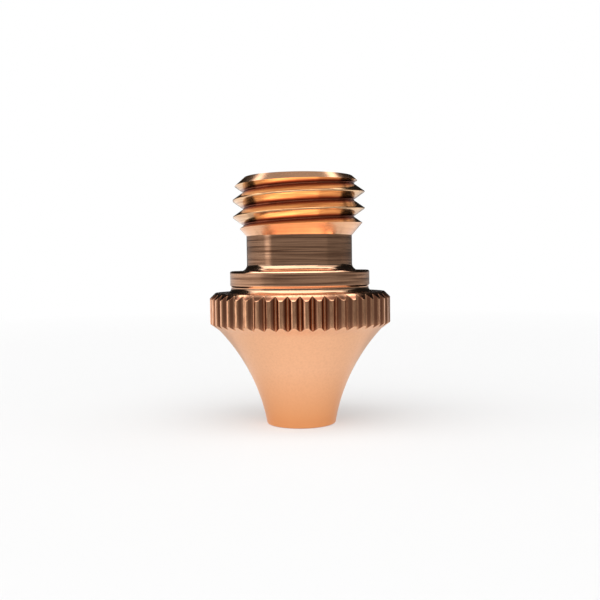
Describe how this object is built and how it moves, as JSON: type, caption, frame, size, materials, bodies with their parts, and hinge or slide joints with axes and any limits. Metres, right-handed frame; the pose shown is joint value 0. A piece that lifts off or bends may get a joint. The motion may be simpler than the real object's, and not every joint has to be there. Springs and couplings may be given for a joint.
{
  "type": "torch nozzle",
  "caption": "Copper torch nozzle with a screw thread, relief neck, pilot flange, knurled grip ring and a flared body that narrows to a flat tip with a small orifice.",
  "frame": {"origin": "centre of the flat tip, where the jet leaves", "axes": "+Z along the axis from the tip to the threaded end, +X to the right and -Y to the front"},
  "size_m": [0.0136, 0.0136, 0.0187],
  "materials": {
    "copper": "turned copper: satin flare, fine turning lines on neck and flange, bright cut thread"
  },
  "bodies": {
    "root": {"nozzle": "copper"}
  },
  "joints": []
}
